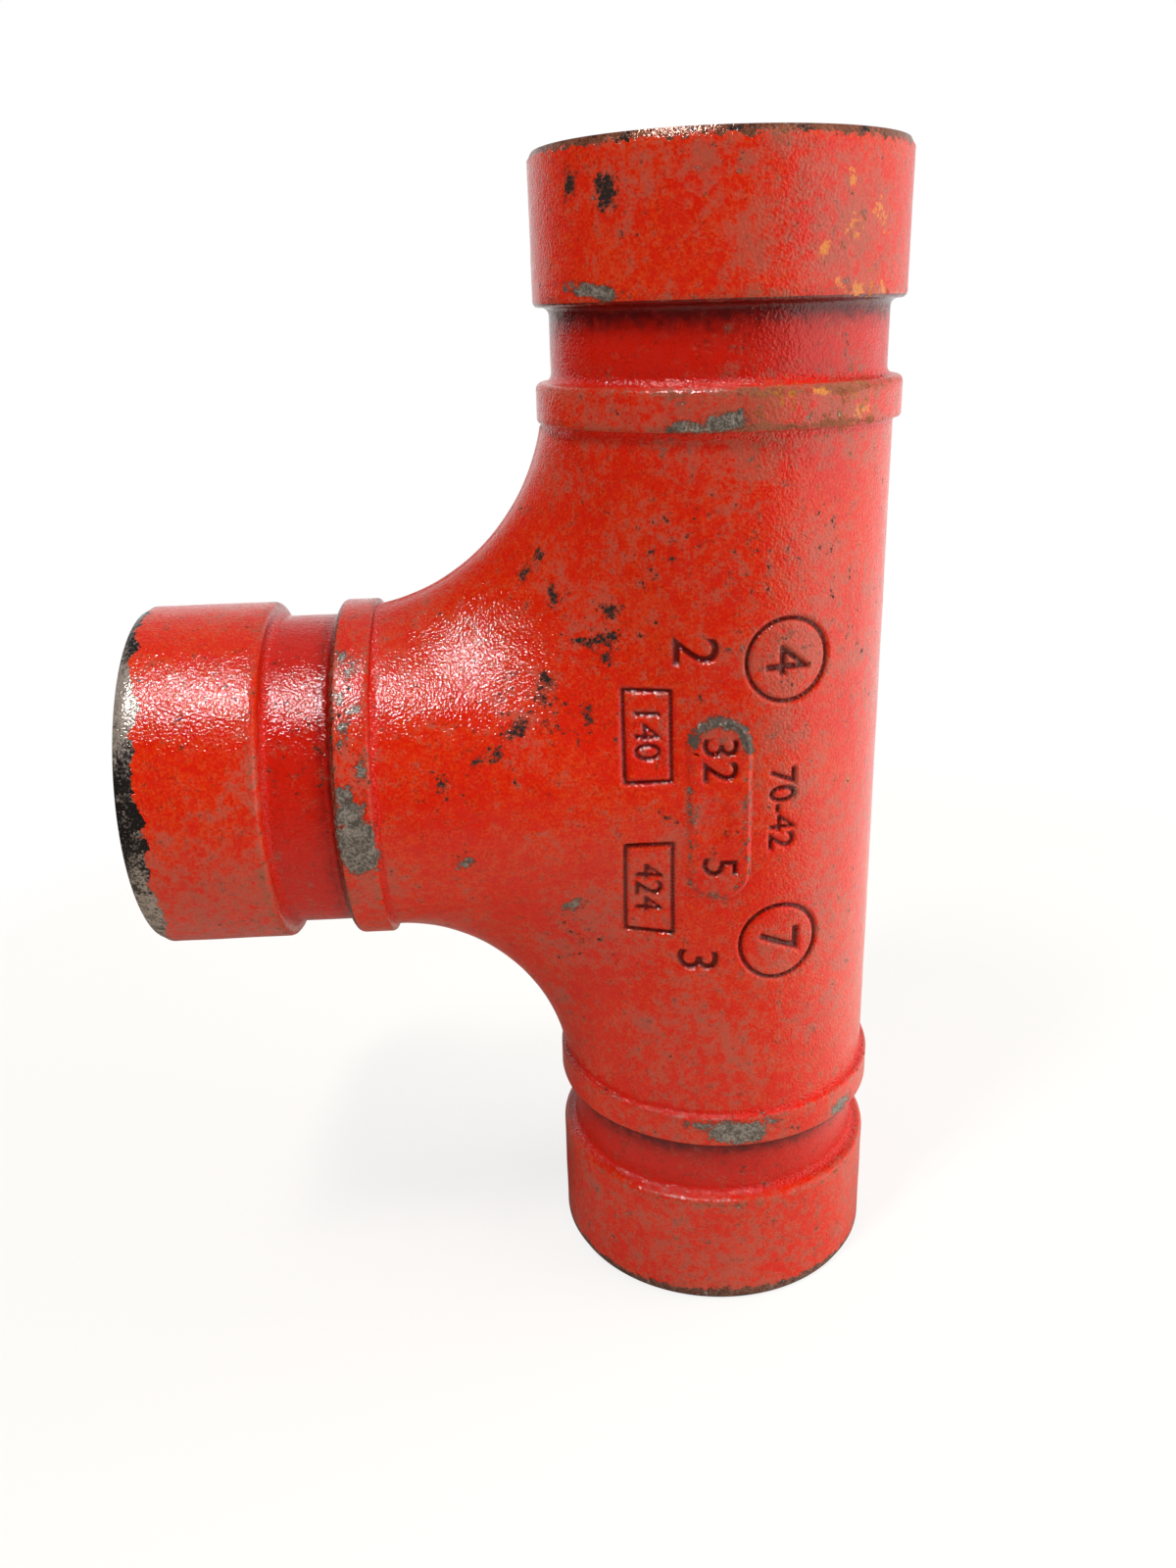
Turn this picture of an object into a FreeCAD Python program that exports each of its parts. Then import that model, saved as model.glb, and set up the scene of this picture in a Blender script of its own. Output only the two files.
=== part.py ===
import FreeCAD, Part
import math
import os
from collections import namedtuple

# A cast iron pipe tee whose three ends are grooved for clamp couplings. It is one
# casting: a straight run, a side branch of the same bore, and a wide rounded crotch
# where they meet. Sizes are in millimetres. The run stands along +Z with the middle
# of its lower end face at the origin, and the branch leaves towards -X.

# The whole fitting
run_centre_to_end = 70.0
branch_centre_to_end = 70.0
body_diameter = 40.6
bore_diameter = 33.4

# A grooved end, from its face inwards
end_diameter = 42.4
gasket_seat_length = 15.88
groove_width = 7.95
groove_diameter = 38.8
rib_diameter = 42.4
rib_width = 4.6

# The edges of a grooved end
rim_bevel_length = 0.8
rim_bevel_depth = 0.5
mouth_bevel = 0.7
seat_shoulder_round = 0.7
groove_corner_round = 0.8
rib_shoulder_round = 0.85
rib_crest_round = 0.4
rib_toe_round = 0.45

# The parting line of the mould, which stands a little proud between the ribs
seam_height = 0.15
seam_width = 1.0

# The branch is a hair slimmer than the run, so that they meet in one smooth loop
branch_ease = 0.1

# The neck that each end keeps behind its rib lies just under the skin of the body
neck_length = 2.0
neck_depth = 0.03

# How far a tool runs on past what it cuts
overrun = 3.0

# The most of a straight side of an outline that the rounding of one corner may take
round_share = 0.49

end_radius = end_diameter / 2
groove_radius = groove_diameter / 2
rib_radius = rib_diameter / 2
body_radius = body_diameter / 2
bore_radius = bore_diameter / 2
run_length = 2 * run_centre_to_end
rib_start = gasket_seat_length + groove_width
rib_end = rib_start + rib_width
rib_middle = (rib_start + rib_end) / 2
neck_end = rib_end + neck_length

# The crotch's arc leaves both barrels level with the groove side of their ribs
crotch_reach = min(run_centre_to_end, branch_centre_to_end) - rib_start

up = FreeCAD.Vector(0, 0, 1)
down = FreeCAD.Vector(0, 0, -1)
sideways = FreeCAD.Vector(-1, 0, 0)
axis_foot = FreeCAD.Vector(0, 0, 0)
crossing = up * run_centre_to_end

# Each end: the middle of its face, the way out of it, and how much slimmer its barrel is
End = namedtuple("End", "face_middle outwards slimmer")
lower_end = End(axis_foot, down, 0)
upper_end = End(up * run_length, up, 0)
branch_end = End(crossing + sideways * branch_centre_to_end, sideways, branch_ease)
grooved_ends = [lower_end, upper_end, branch_end]


def rounded_outline(corners):
    """A closed face from corners of (radius, distance from the end face, rounding)."""
    points = [FreeCAD.Vector(radius, 0, -distance) for radius, distance, _ in corners]
    arrivals = []
    departures = []
    edges = []
    for i, (_, _, rounding) in enumerate(corners):
        corner = points[i]
        back = points[i - 1] - corner
        ahead = points[(i + 1) % len(points)] - corner
        half_angle = back.getAngle(ahead) / 2
        shorter_side = min(back.Length, ahead.Length)
        inset = min(rounding / math.tan(half_angle), round_share * shorter_side)
        arrivals.append(corner + back.normalize() * inset)
        departures.append(corner + ahead.normalize() * inset)
        if rounding:
            middle = (back + ahead).normalize()
            radius = inset * math.tan(half_angle)
            crown = corner + middle * (radius / math.sin(half_angle) - radius)
            edges.append(Part.Arc(arrivals[i], crown, departures[i]).toShape())
    for i, start in enumerate(departures):
        finish = arrivals[(i + 1) % len(points)]
        edges.append(Part.LineSegment(start, finish).toShape())
    return Part.Face(Part.Wire(Part.sortEdges(edges)[0]))


def grooved_end(end):
    """One end as a solid bar: bevelled rim, gasket seat, groove, stop rib and neck."""
    neck_radius = body_radius - end.slimmer - neck_depth
    outline = rounded_outline([
        (0, 0, 0),
        (end_radius - rim_bevel_depth, 0, 0),
        (end_radius, rim_bevel_length, 0),
        (end_radius, gasket_seat_length, seat_shoulder_round),
        (groove_radius, gasket_seat_length, groove_corner_round),
        (groove_radius, rib_start, groove_corner_round),
        (rib_radius, rib_start, rib_shoulder_round),
        (rib_radius, rib_end, rib_crest_round),
        (neck_radius, rib_end, rib_toe_round),
        (neck_radius, neck_end, 0),
        (0, neck_end, 0),
    ])
    bar = outline.revolve(axis_foot, up, 360)
    bar.Placement = FreeCAD.Placement(end.face_middle, FreeCAD.Rotation(up, end.outwards))
    return bar


def barrel(end, radius, length, past_end=0):
    """A solid round bar that runs inwards from an end face, or from a little past it."""
    start = end.face_middle + end.outwards * past_end
    return Part.makeCylinder(radius - end.slimmer, length + past_end, start, end.outwards * -1)


def countersink(end):
    """A cone of 45 degrees that bevels the mouth of a bore, from inside it to past the face."""
    depth = mouth_bevel + overrun
    inner_radius = bore_radius - end.slimmer - overrun
    outer_radius = inner_radius + depth + overrun
    start = end.face_middle - end.outwards * depth
    return Part.makeCone(inner_radius, outer_radius, depth + overrun, start, end.outwards)


def crossed_barrels(radius, past_end=0):
    """Run and branch as solid bars, joined by an arc that ends at the crotch's reach."""
    run = barrel(upper_end, radius, run_length + past_end, past_end)
    branch = barrel(branch_end, radius, branch_centre_to_end, past_end)
    joined = run.fuse(branch)
    plain_curves = (Part.Circle, Part.Line)
    meeting_loop = [edge for edge in joined.Edges if not isinstance(edge.Curve, plain_curves)]
    return joined.makeFillet(crotch_reach - radius, meeting_loop)


def body_between_ribs(radius):
    """The crossed barrels, cut off square inside each of the three ribs."""
    body = crossed_barrels(radius)
    for end in grooved_ends:
        body = body.cut(barrel(end, rib_radius + overrun, rib_middle, overrun))
    return body


def parting_seam():
    """The middle slice of a slightly fatter body, which stands proud as a low seam."""
    reach = run_length + branch_centre_to_end
    corner = FreeCAD.Vector(-reach, -seam_width / 2, -reach)
    slice_box = Part.makeBox(2 * reach, seam_width, 2 * reach, corner)
    return body_between_ribs(body_radius + seam_height).common(slice_box)


def casting():
    """The whole tee: a solid body with its three ends, then the bores through it."""
    solid = body_between_ribs(body_radius)
    for end in grooved_ends:
        solid = solid.fuse(grooved_end(end))
    solid = solid.fuse(parting_seam())
    solid = solid.cut(crossed_barrels(bore_radius, overrun))
    for end in grooved_ends:
        solid = solid.cut(countersink(end))
    return solid.removeSplitter()


def main():
    os.makedirs("parts", exist_ok=True)
    tee = casting()
    print("valid", tee.isValid(), "solids", len(tee.Solids), "faces", len(tee.Faces))
    print("volume", round(tee.Volume / 1000, 2), "cm3")
    tee.exportStep("parts/tee_casting.step")


main()
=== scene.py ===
import math
import bmesh
import bpy
import numpy as np
from mathutils import Matrix, Vector


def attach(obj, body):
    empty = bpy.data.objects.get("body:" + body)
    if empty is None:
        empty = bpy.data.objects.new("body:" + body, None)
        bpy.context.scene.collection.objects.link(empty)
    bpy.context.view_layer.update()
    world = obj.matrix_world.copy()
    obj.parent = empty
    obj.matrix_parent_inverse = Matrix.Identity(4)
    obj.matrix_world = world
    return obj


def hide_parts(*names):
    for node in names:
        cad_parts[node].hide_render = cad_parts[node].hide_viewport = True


# A grooved tee of cast iron under worn red paint, standing on the lower end of its run.
# The frame gives its place: run along +Z, branch towards -X, seen from the -Y side.
# Sizes in the dictionaries are in millimetres, and mm turns them into Blender's metres.

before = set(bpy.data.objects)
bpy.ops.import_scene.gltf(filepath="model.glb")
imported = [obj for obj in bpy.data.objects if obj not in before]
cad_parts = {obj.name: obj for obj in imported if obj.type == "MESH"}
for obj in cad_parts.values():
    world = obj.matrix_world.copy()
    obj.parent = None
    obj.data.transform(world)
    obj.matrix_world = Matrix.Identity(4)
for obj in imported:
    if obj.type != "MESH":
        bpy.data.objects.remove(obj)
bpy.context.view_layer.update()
mm = 0.001
tau = math.tau
farOff = 9.0  # stands for any distance that no longer matters
offPiece = 500.0  # a place outside the casting
rng = np.random.default_rng(42)
print("frame loaded", list(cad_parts))


# small helpers

def deselectAll():
    if bpy.context.object and bpy.context.object.mode != "OBJECT":
        bpy.ops.object.mode_set(mode="OBJECT")
    bpy.ops.object.select_all(action="DESELECT")


def selectOnly(*pieces):
    deselectAll()
    for piece in pieces:
        piece.select_set(True)
    bpy.context.view_layer.objects.active = pieces[0]


def editMode(piece):
    selectOnly(piece)
    bpy.ops.object.mode_set(mode="EDIT")


def objectMode():
    bpy.ops.object.mode_set(mode="OBJECT")


def pick(piece, kind, test):
    # selects the vertices, edges or faces of the piece in edit mode that pass the test
    bpy.ops.mesh.select_mode(type=kind)
    bpy.ops.mesh.select_all(action="DESELECT")
    shape = bmesh.from_edit_mesh(piece.data)
    members = {"VERT": shape.verts, "EDGE": shape.edges, "FACE": shape.faces}[kind]
    for member in members:
        if test(member):
            member.select_set(True)
    shape.select_flush_mode()
    bmesh.update_edit_mesh(piece.data)


def nameActive(name):
    piece = bpy.context.object
    piece.name = name
    piece.data.name = name
    return piece


def copyOf(piece, name):
    selectOnly(piece)
    bpy.ops.object.duplicate()
    return nameActive(name)


def settle():
    # puts the place of the active piece into its mesh
    bpy.ops.object.transform_apply(location=True, rotation=True, scale=True)


def readPoints(piece):
    points = np.empty(len(piece.data.vertices) * 3)
    piece.data.vertices.foreach_get("co", points)
    return points.reshape(-1, 3)


def writePoints(piece, points):
    piece.data.vertices.foreach_set("co", points.ravel())
    piece.data.update()


def weigh(piece, name, weights):
    # a vertex group from an array of weights
    group = piece.vertex_groups.get(name) or piece.vertex_groups.new(name=name)
    steps = np.round(np.clip(weights, 0, 1) * 200).astype(int)
    for step in np.unique(steps):
        members = np.nonzero(steps == step)[0].tolist()
        group.add(members, step / 200, "REPLACE")


def readWeights(piece, name):
    index = piece.vertex_groups[name].index
    weights = np.zeros(len(piece.data.vertices))
    for i, vertex in enumerate(piece.data.vertices):
        for entry in vertex.groups:
            if entry.group == index:
                weights[i] = entry.weight
    return weights


def press(piece, name, height, texture=None, middle=0.0):
    # moves the weighted skin along its normals, evenly or by a texture
    selectOnly(piece)
    modifier = piece.modifiers.new(name, "DISPLACE")
    modifier.vertex_group = name
    modifier.strength = height
    modifier.mid_level = middle
    if texture:
        modifier.texture = texture
        modifier.texture_coords = "LOCAL"
    bpy.ops.object.modifier_apply(modifier=modifier.name)


def smoothStep(low, high, value):
    share = np.clip((value - low) / (high - low), 0, 1)
    return share * share * (3 - 2 * share)


# camera, at the photograph's place

view = {
    "azimuth": -2.363,
    "elevation": 20.516,
    "roll": -1.722,
    "place": (-22.823, -154.397, 123.948),
    "focalPixels": 1295.372,
    "imageHeight": 1600,
    "sensorHeight": 36.0,
}


def aimCamera():
    azimuth, elevation, roll = (math.radians(view[key]) for key in ("azimuth", "elevation", "roll"))
    bpy.ops.object.camera_add()
    camera = bpy.context.object
    camera.name = "photoCamera"
    forward = Vector((-math.sin(azimuth) * math.cos(elevation),
                      math.cos(azimuth) * math.cos(elevation), -math.sin(elevation)))
    right = forward.cross(Vector((0, 0, 1))).normalized()
    up = right.cross(forward)
    turnedRight = math.cos(roll) * right + math.sin(roll) * up
    turnedUp = math.cos(roll) * up - math.sin(roll) * right
    pose = Matrix((turnedRight, turnedUp, -forward)).transposed().to_4x4()
    pose.translation = Vector(view["place"]) * mm
    camera.matrix_world = pose
    camera.data.sensor_fit = "VERTICAL"
    camera.data.sensor_height = view["sensorHeight"]
    camera.data.lens = view["sensorHeight"] * view["focalPixels"] / view["imageHeight"]
    camera.data.clip_start = 0.001
    bpy.context.scene.camera = camera


deselectAll()
aimCamera()
print("camera placed")


# the casting

casting = {
    "centreToEnd": 70.0,
    "bodyRadius": 20.3,
    "boreRadius": 16.7,
    "endRadius": 21.2,
    "rimBevelLength": 0.8,
    "rimBevelDepth": 0.5,
    "mouthBevel": 0.7,
    "seatLength": 15.88,
    "grooveWidth": 7.95,
    "grooveRadius": 19.4,
    "ribWidth": 4.6,
    "shoulderRound": 0.7,
    "cornerRound": 0.8,
    "ribRound": 0.85,
    "crestRound": 0.4,
    "toeRound": 0.45,
    "crotchReach": 46.17,
    "seamHeight": 0.15,
    "seamWidth": 1.2,
    "around": 208,
    "rows": 96,
    "boreRows": 20,
    "seatRows": 18,
    "grooveRows": 8,
    "ribRows": 5,
}
centre = casting["centreToEnd"]
grooveStart = casting["seatLength"]
ribStart = grooveStart + casting["grooveWidth"]
ribEnd = ribStart + casting["ribWidth"]
endRadius = casting["endRadius"]
crossing = np.array([0, 0, centre])


def drawEndOutline():
    # half a section through one end: its face at height 0, the pipe below it
    boreRadius, mouth = casting["boreRadius"], casting["mouthBevel"]
    toeRadius = casting["bodyRadius"] + casting["toeRound"]
    bevelRadius = endRadius - casting["rimBevelDepth"]
    corners = [
        (boreRadius, centre - casting["crotchReach"]),
        (boreRadius, mouth),
        (boreRadius + mouth, 0),
        (bevelRadius, 0),
        (endRadius, casting["rimBevelLength"]),
        (endRadius, grooveStart),
        (casting["grooveRadius"], grooveStart),
        (casting["grooveRadius"], ribStart),
        (endRadius, ribStart),
        (endRadius, ribEnd),
        (toeRadius, ribEnd),
    ]
    places = [Vector((radius, 0, -depth)) * mm for radius, depth in corners]
    bpy.ops.mesh.primitive_plane_add(size=mm, location=(0, 0, 0))
    outline = nameActive("groovedEnd")
    bpy.ops.object.mode_set(mode="EDIT")
    bpy.ops.mesh.merge(type="CENTER")
    bpy.ops.transform.translate(value=places[0])
    for before, after in zip(places, places[1:]):
        bpy.ops.mesh.extrude_vertices_move(TRANSFORM_OT_translate={"value": after - before})
    rounds = {5: ("shoulderRound", 3), 6: ("cornerRound", 4), 7: ("cornerRound", 4),
              8: ("ribRound", 4), 9: ("crestRound", 2)}
    for index, (size, segments) in rounds.items():
        corner = places[index]
        pick(outline, "VERT", lambda vertex: (vertex.co - corner).length < 0.01 * mm)
        bpy.ops.mesh.bevel(offset=casting[size] * mm, segments=segments, affect="VERTICES",
                           offset_type="OFFSET", clamp_overlap=False)
    lengths = [((0, 1), 4), ((2, 3), 3), ((3, 4), 1), ((4, 5), casting["seatRows"] - 1),
               ((6, 7), casting["grooveRows"] - 1), ((8, 9), casting["ribRows"] - 1)]
    for (first, second), cuts in lengths:
        middle = (places[first] + places[second]) / 2
        pick(outline, "EDGE", lambda edge: nearMiddle(edge, middle))
        bpy.ops.mesh.subdivide(number_cuts=cuts)
    objectMode()
    return outline


def nearMiddle(edge, middle):
    start, end = (vertex.co for vertex in edge.verts)
    along = end - start
    share = (middle - start).dot(along) / along.length_squared
    return 0 < share < 1 and (start + along * share - middle).length < 0.05 * mm


def spinEnd(outline):
    editMode(outline)
    bpy.ops.mesh.select_all(action="SELECT")
    bpy.ops.mesh.spin(steps=casting["around"], angle=tau, center=(0, 0, 0), axis=(0, 0, 1))
    bpy.ops.mesh.select_all(action="SELECT")
    bpy.ops.mesh.remove_doubles(threshold=0.002 * mm)
    objectMode()
    points = readPoints(outline) / mm
    radii = np.hypot(points[:, 0], points[:, 1])
    outside = (radii > casting["grooveRadius"] - 0.1) & (points[:, 2] < -0.4)
    weigh(outline, "skin", outside.astype(float))
    return outline


def layOnCrotch(piece, radius, toeRows):
    # the grid's width runs round the run's branch side, its length up the run and out
    # along the branch, over the arc of a ball that rolls in the corner between them
    grid = readPoints(piece)
    phi = np.clip(grid[:, 0], -0.5, 0.5) * math.pi
    rows = casting["rows"] if toeRows else casting["boreRows"]
    total = rows + 2 * toeRows
    row = (grid[:, 1] + 0.5) * total
    reach = casting["crotchReach"]
    start = centre - ribEnd - casting["toeRound"] if toeRows else reach
    arc = reach - radius
    cosPhi, sinPhi = np.cos(phi), np.sin(phi)
    cosPhi = np.maximum(cosPhi, 0)
    theta = np.arccos(np.clip(sinPhi ** 2, -1, 1))
    sinTheta = np.maximum(np.sin(theta), 1e-9)
    over = np.maximum(reach * cosPhi - start, 0)
    skipped = np.arcsin(np.clip(over * sinTheta / (arc * np.maximum(cosPhi, 1e-9)), 0, 1))
    straight = np.maximum(start - reach * cosPhi, 0)
    arcLength = arc * (theta - 2 * skipped)
    share = np.clip((row - toeRows) / rows, 0, 1)
    travel = share * (2 * straight + arcLength)
    alpha = skipped + np.clip(travel - straight, 0, arcLength) / arc
    middle = np.stack([-reach * cosPhi, reach * sinPhi, -reach * cosPhi], axis=1)
    toRun = np.stack([cosPhi, -sinPhi, 0 * phi], axis=1)
    toBranch = np.stack([0 * phi, -sinPhi, cosPhi], axis=1)
    runShare = (np.sin(theta - alpha) / sinTheta)[:, None]
    branchShare = (np.sin(alpha) / sinTheta)[:, None]
    onArc = middle + arc * (runShare * toRun + branchShare * toBranch)
    onRun = np.stack([-radius * cosPhi, radius * sinPhi, travel - start], axis=1)
    left = 2 * straight + arcLength - travel
    onBranch = np.stack([left - start, radius * sinPhi, -radius * cosPhi], axis=1)
    flatArc = theta < 1e-6
    nearRun = (travel < straight) | (flatArc & (share < 0.5))
    nearBranch = (left < straight) | (flatArc & (share >= 0.5))
    points = np.where(nearRun[:, None], onRun, onArc)
    points = np.where(nearBranch[:, None], onBranch, points)
    if toeRows:
        layToe(points, row, phi, total)
    writePoints(piece, (points + crossing) * mm)


def layToe(points, row, phi, total):
    # the small hollow between the body and the flank of each rib
    toeRadius = casting["bodyRadius"] + casting["toeRound"]
    flank = centre - ribEnd
    for atRun, rowsOut in ((True, row), (False, total - row)):
        for step in (0, 1):
            chosen = np.abs(rowsOut - step) < 0.5
            body = points[np.abs(rowsOut - 2) < 0.5]
            order = np.argsort(phi[np.abs(rowsOut - 2) < 0.5])
            body = body[order][np.argsort(np.argsort(phi[chosen]))]
            cosPhi, sinPhi = np.cos(phi[chosen]), np.sin(phi[chosen])
            flatX = np.full(chosen.sum(), -flank)
            if atRun:
                rim = np.stack([-toeRadius * cosPhi, toeRadius * sinPhi, flatX], axis=1)
                corner = np.stack([body[:, 0], body[:, 1], flatX], axis=1)
            else:
                rim = np.stack([flatX, toeRadius * sinPhi, -toeRadius * cosPhi], axis=1)
                corner = np.stack([flatX, body[:, 1], body[:, 2]], axis=1)
            t = step / 2
            points[chosen] = (1 - t) ** 2 * rim + 2 * t * (1 - t) * corner + t * t * body


def layOnBack(piece, radius, toeRows):
    # the far half of the run, a plain half pipe
    grid = readPoints(piece)
    phi = (grid[:, 0] + 1) * math.pi
    rows = casting["rows"] if toeRows else casting["boreRows"]
    total = rows + 2 * toeRows
    row = (grid[:, 1] + 0.5) * total
    start = centre - ribEnd - casting["toeRound"] if toeRows else casting["crotchReach"]
    height = (np.clip((row - toeRows) / rows, 0, 1) * 2 - 1) * start
    radii = np.full(len(phi), radius)
    if toeRows:
        toeRadius, flank = radius + casting["toeRound"], centre - ribEnd
        for rowsOut, side in ((row, -1), (total - row, 1)):
            rim, half = np.abs(rowsOut) < 0.5, np.abs(rowsOut - 1) < 0.5
            radii[rim], height[rim] = toeRadius, side * flank
            radii[half] = 0.25 * toeRadius + 0.75 * radius
            height[half] = side * (0.75 * flank + 0.25 * start)
    points = np.stack([-radii * np.cos(phi), radii * np.sin(phi), height], axis=1)
    writePoints(piece, (points + crossing) * mm)


def layShell(name, radius, toeRows):
    rows = (casting["rows"] if toeRows else casting["boreRows"]) + 2 * toeRows
    half = casting["around"] // 2
    shells = []
    for part, lay in (("Lower", layOnCrotch), ("Back", layOnBack)):
        bpy.ops.mesh.primitive_grid_add(x_subdivisions=half, y_subdivisions=rows, size=1)
        shell = nameActive(name + part)
        lay(shell, radius, toeRows)
        if toeRows:
            weigh(shell, "skin", np.ones(len(shell.data.vertices)))
        shells.append(shell)
    upper = copyOf(shells[0], name + "Upper")
    editMode(upper)
    bpy.ops.mesh.select_all(action="SELECT")
    bpy.ops.transform.resize(value=(1, 1, -1), center_override=tuple(crossing * mm))
    objectMode()
    return shells + [upper]


def placeEnds(end):
    ends = [end, copyOf(end, "upperEnd"), copyOf(end, "branchEnd")]
    turns = [(math.pi, (0, 0, 0)), (0, (0, 0, 2 * centre)), (-math.pi / 2, (-centre, 0, centre))]
    for piece, (turn, place) in zip(ends, turns):
        selectOnly(piece)
        piece.rotation_euler = (0, turn, 0)
        piece.location = Vector(place) * mm
        settle()
    return ends


def castTee():
    pieces = placeEnds(spinEnd(drawEndOutline()))
    pieces += layShell("body", casting["bodyRadius"], 2)
    pieces += layShell("bore", casting["boreRadius"], 0)
    selectOnly(*pieces)
    bpy.ops.object.join()
    tee = nameActive("painted_tee")
    bpy.ops.object.mode_set(mode="EDIT")
    bpy.ops.mesh.select_all(action="SELECT")
    bpy.ops.mesh.remove_doubles(threshold=0.002 * mm)
    bpy.ops.mesh.normals_make_consistent(inside=False)
    bpy.ops.mesh.select_all(action="DESELECT")
    bpy.ops.mesh.select_mode(type="EDGE")
    bpy.ops.mesh.select_non_manifold()
    objectMode()
    openEdges = sum(edge.select for edge in tee.data.edges)
    print("cast", len(tee.data.vertices), "vertices, open edges", openEdges)
    return tee


tee = castTee()


# marks on the front: plain numbers, rings and frames pressed into the iron

marks = {
    "depth": 0.52,
    "wall": (-0.36, 0.10),
    "cuts": 3,
    "cutWithin": {"strokes": 0.75, "pad": 0.6, "dimple": 0.5},
    "textWeight": 0.14,
    "texts": [
        ("4", 5.3, 87.0, 5.0),
        ("7", 5.1, 52.2, 5.0),
        ("140", -10.4, 78.6, 3.0),
        ("424", -10.4, 59.6, 3.2),
        ("32", -2.2, 75.7, 4.0),
        ("5", -2.2, 62.6, 4.0),
        ("70-42", 5.1, 69.3, 3.1),
        ("3", -4.7, 50.2, 4.8),
        ("2", -5.0, 88.3, 5.0),
    ],
    "rings": [(5.3, 87.0, 4.7), (5.1, 52.2, 4.75)],
    "frames": [(-10.4, 78.6, 5.3, 10.3), (-10.4, 59.6, 5.5, 12.0)],
    "lineWidth": 0.7,
    "dimple": (-3.0, 68.6, 2.2, 2.8),
    "dimpleDepth": 0.2,
    "dimpleEdge": (-0.35, 0.15),
    "pad": (-2.3, 69.7, 3.5, 11.05),
    "padHeight": 0.3,
    "padEdge": (-0.3, 0.25),
}


def flatText(words, x, z, height):
    # reads down the run, tops of the figures to the right
    bpy.ops.object.text_add(location=(0, 0, 0))
    text = bpy.context.object
    text.data.body = words
    text.data.size = height * mm / 0.7
    text.data.offset = marks["textWeight"] * mm
    text.data.resolution_u = 6
    text.data.align_x = "CENTER"
    text.data.align_y = "CENTER"
    bpy.ops.object.convert(target="MESH")
    text = bpy.context.object
    points = readPoints(text)
    low, high = points.min(axis=0), points.max(axis=0)
    middle = (low + high) / 2
    points -= middle
    turned = np.stack([points[:, 1] + x * mm, 0 * points[:, 0], -points[:, 0] + z * mm], axis=1)
    writePoints(text, turned)
    return text


def outlineOf(piece):
    # the rim of a flat piece as start and end points of its open edges, in millimetres
    editMode(piece)
    bpy.ops.mesh.select_all(action="SELECT")
    bpy.ops.mesh.remove_doubles(threshold=0.001 * mm)
    objectMode()
    counts = {}
    for face in piece.data.polygons:
        for key in face.edge_keys:
            counts[key] = counts.get(key, 0) + 1
    points = readPoints(piece)[:, (0, 2)] / mm
    rim = [key for key, count in counts.items() if count == 1]
    return points[[a for a, b in rim]], points[[b for a, b in rim]]


def signedDistance(places, starts, ends):
    # to the strokes, below 0 inside them
    result = np.empty(len(places))
    along = ends - starts
    lengths = np.maximum((along ** 2).sum(axis=1), 1e-12)
    for first in range(0, len(places), 500):
        block = places[first:first + 500, None, :]
        share = np.clip(((block - starts) * along).sum(axis=2) / lengths, 0, 1)
        gap = block - starts - share[:, :, None] * along
        nearest = np.sqrt((gap ** 2).sum(axis=2)).min(axis=1)
        px, pz = block[:, :, 0], block[:, :, 1]
        crosses = (starts[:, 1] > pz) != (ends[:, 1] > pz)
        rise = np.where(np.abs(along[:, 1]) < 1e-12, 1e-12, along[:, 1])
        atX = starts[:, 0] + (pz - starts[:, 1]) / rise * along[:, 0]
        inside = (crosses & (px < atX)).sum(axis=1) % 2 == 1
        result[first:first + 500] = np.where(inside, -nearest, nearest)
    return result


def strokeDistance(places, rims):
    nearest = np.full(len(places), farOff)
    for starts, ends in rims:
        low = np.minimum(starts, ends).min(axis=0) - 1.5
        high = np.maximum(starts, ends).max(axis=0) + 1.5
        close = ((places > low) & (places < high)).all(axis=1)
        nearest[close] = np.minimum(nearest[close], signedDistance(places[close], starts, ends))
    half = marks["lineWidth"] / 2
    for x, z, radius in marks["rings"]:
        ring = np.hypot(places[:, 0] - x, places[:, 1] - z)
        nearest = np.minimum(nearest, np.abs(ring - radius) - half)
    for x, z, width, height in marks["frames"]:
        across = np.abs(places[:, 0] - x) - width / 2
        up = np.abs(places[:, 1] - z) - height / 2
        inside = np.minimum(np.maximum(across, up), 0)
        box = np.hypot(np.maximum(across, 0), np.maximum(up, 0)) + inside
        nearest = np.minimum(nearest, np.abs(box) - half)
    return nearest


def padDistance(places):
    x, z, half, tall = marks["pad"]
    up = np.maximum(np.abs(places[:, 1] - z) - (tall - half), 0)
    return np.hypot(places[:, 0] - x, up) - half


def dimpleDistance(places):
    x, z, half, tall = marks["dimple"]
    return (np.hypot((places[:, 0] - x) / half, (places[:, 1] - z) / tall) - 1) * half


def frontPlaces(points, normalsY):
    # x and z of the points that face the front of the body, off the piece for all others
    places = points[:, (0, 2)] / mm
    hidden = (normalsY > -0.3) | (points[:, 1] > -8 * mm)
    places[hidden] = offPiece
    return places


def readNormals(piece):
    normals = np.empty(len(piece.data.vertices) * 3)
    piece.data.vertices.foreach_get("normal", normals)
    return normals.reshape(-1, 3)


def skinPlaces(piece):
    places = frontPlaces(readPoints(piece), readNormals(piece)[:, 1])
    places[readWeights(piece, "skin") < 0.5] = offPiece
    return places


def markDistances(piece, rims):
    places = skinPlaces(piece)
    return strokeDistance(places, rims), padDistance(places), dimpleDistance(places)


def refineUnderMarks(piece, rims):
    # smaller faces where a stroke or the rim of the pad passes
    strokes, pad, dimple = markDistances(piece, rims)
    within = marks["cutWithin"]
    near = (strokes < within["strokes"]) | (np.abs(pad) < within["pad"])
    close = set(np.nonzero(near | (np.abs(dimple) < within["dimple"]))[0])
    editMode(piece)
    pick(piece, "FACE", lambda face: sum(vertex.index in close for vertex in face.verts) >= 2)
    bpy.ops.mesh.subdivide(number_cuts=marks["cuts"], smoothness=0)
    objectMode()


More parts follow.
